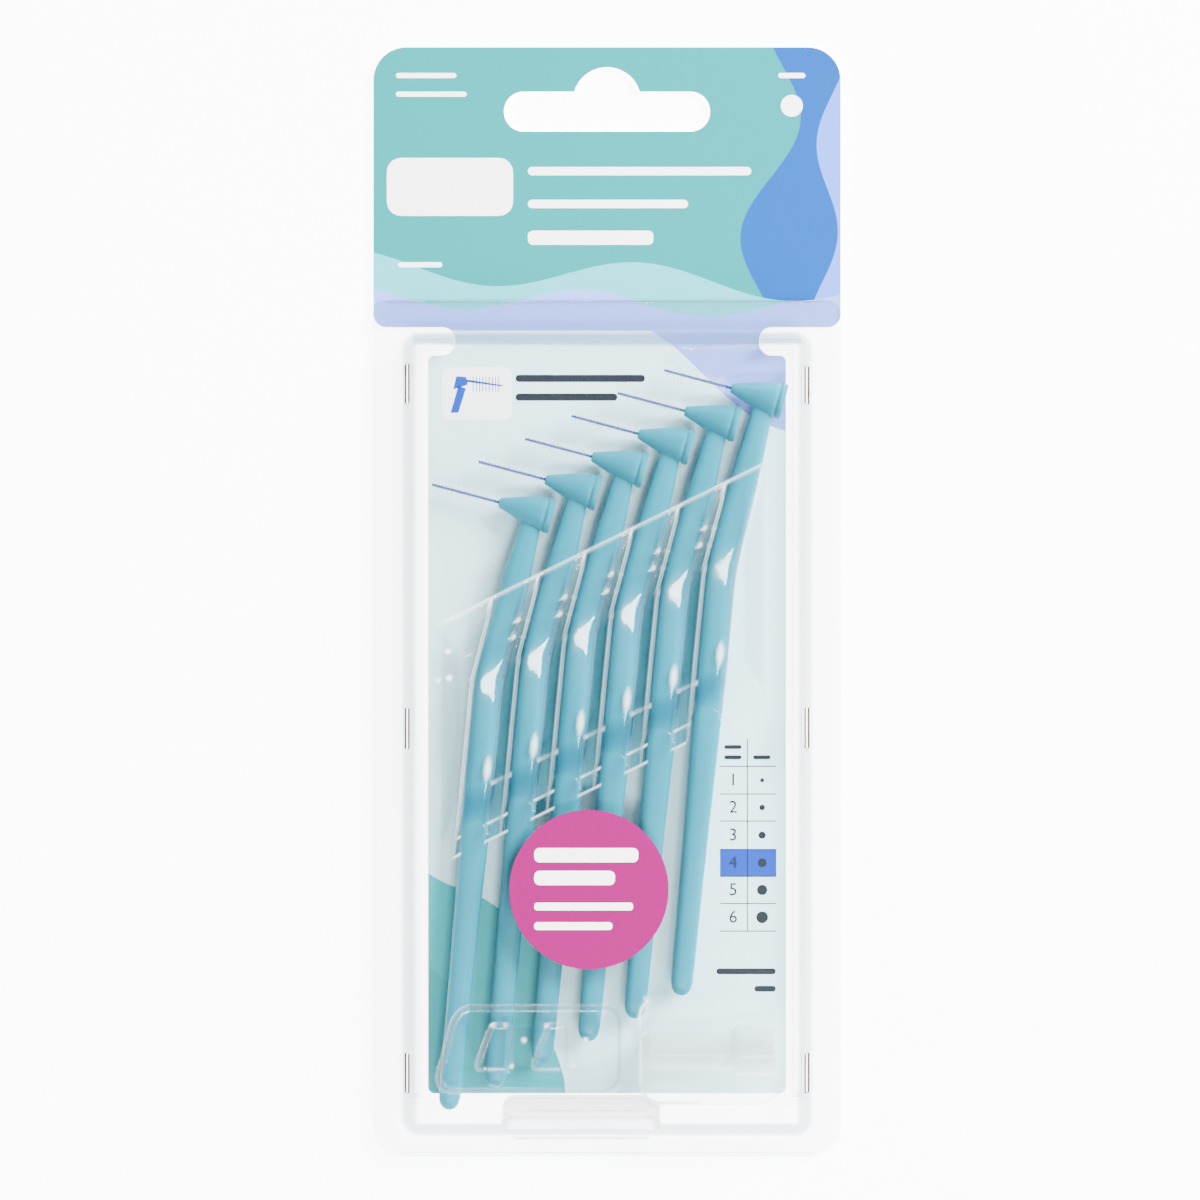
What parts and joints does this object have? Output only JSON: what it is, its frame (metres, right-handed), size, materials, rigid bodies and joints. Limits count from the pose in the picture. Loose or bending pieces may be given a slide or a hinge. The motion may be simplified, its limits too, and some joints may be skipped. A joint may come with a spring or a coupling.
{
  "type": "interdental brush pack",
  "caption": "Hanging retail pack of angled interdental brushes and a travel cap between two clear formed halves that hinge at the foot.",
  "frame": {"origin": "centre of the pack's outline, on the flat back face of the rear half", "axes": "+X to the right of the front, +Y towards the header and its hanging slot, +Z out of the front"},
  "size_m": [0.0726, 0.1722, 0.0093],
  "materials": {
    "clear_pet_sheet": "thermoformed clear PET, glossy both sides",
    "printed_card": "white coated card with flat printed colours",
    "round_label_magenta": "matt self-adhesive label",
    "cap_clear": "injection-moulded clear polypropylene",
    "handle_cyan": "injection-moulded polypropylene, semi-gloss",
    "wire_steel": "twisted coated stainless wire",
    "bristle_nylon": "fine translucent nylon filament"
  },
  "bodies": {
    "pack_base": {"back_shell": "clear_pet_sheet", "backing_card": "printed_card"},
    "front_half": {"front_shell": "clear_pet_sheet", "round_label": "round_label_magenta"},
    "travel_cap": {"protective_cap": "cap_clear"},
    "brush_1": {"brush_1_handle": "handle_cyan", "brush_1_wire": "wire_steel", "brush_1_bristles": "bristle_nylon"},
    "brush_2": {"brush_2_handle": "handle_cyan", "brush_2_wire": "wire_steel", "brush_2_bristles": "bristle_nylon"},
    "brush_3": {"brush_3_handle": "handle_cyan", "brush_3_wire": "wire_steel", "brush_3_bristles": "bristle_nylon"},
    "brush_4": {"brush_4_handle": "handle_cyan", "brush_4_wire": "wire_steel", "brush_4_bristles": "bristle_nylon"},
    "brush_5": {"brush_5_handle": "handle_cyan", "brush_5_wire": "wire_steel", "brush_5_bristles": "bristle_nylon"},
    "brush_6": {"brush_6_handle": "handle_cyan", "brush_6_wire": "wire_steel", "brush_6_bristles": "bristle_nylon"}
  },
  "joints": [
    {"name": "front_hinge", "type": "hinge", "parent": "pack_base", "child": "front_half", "pos_m": [0, -0.0858, 0.00061], "axis": [1, 0, 0], "range_deg": [0, 110]},
    {"name": "cap_lift", "type": "slide", "parent": "pack_base", "child": "travel_cap", "axis": [0, 0, 1], "range_m": [0, 0.0136]},
    {"name": "brush_1_lift", "type": "slide", "parent": "pack_base", "child": "brush_1", "axis": [0, 0, 1], "range_m": [0, 0.0136]},
    {"name": "brush_2_lift", "type": "slide", "parent": "pack_base", "child": "brush_2", "axis": [0, 0, 1], "range_m": [0, 0.0136]},
    {"name": "brush_3_lift", "type": "slide", "parent": "pack_base", "child": "brush_3", "axis": [0, 0, 1], "range_m": [0, 0.0136]},
    {"name": "brush_4_lift", "type": "slide", "parent": "pack_base", "child": "brush_4", "axis": [0, 0, 1], "range_m": [0, 0.0136]},
    {"name": "brush_5_lift", "type": "slide", "parent": "pack_base", "child": "brush_5", "axis": [0, 0, 1], "range_m": [0, 0.0136]},
    {"name": "brush_6_lift", "type": "slide", "parent": "pack_base", "child": "brush_6", "axis": [0, 0, 1], "range_m": [0, 0.0136]}
  ],
  "couplings": [
    {"joint": "cap_lift", "follows": "front_hinge", "m_per_rad": 0.007},
    {"joint": "brush_1_lift", "follows": "front_hinge", "m_per_rad": 0.007},
    {"joint": "brush_2_lift", "follows": "front_hinge", "m_per_rad": 0.007},
    {"joint": "brush_3_lift", "follows": "front_hinge", "m_per_rad": 0.007},
    {"joint": "brush_4_lift", "follows": "front_hinge", "m_per_rad": 0.007},
    {"joint": "brush_5_lift", "follows": "front_hinge", "m_per_rad": 0.007},
    {"joint": "brush_6_lift", "follows": "front_hinge", "m_per_rad": 0.007}
  ]
}
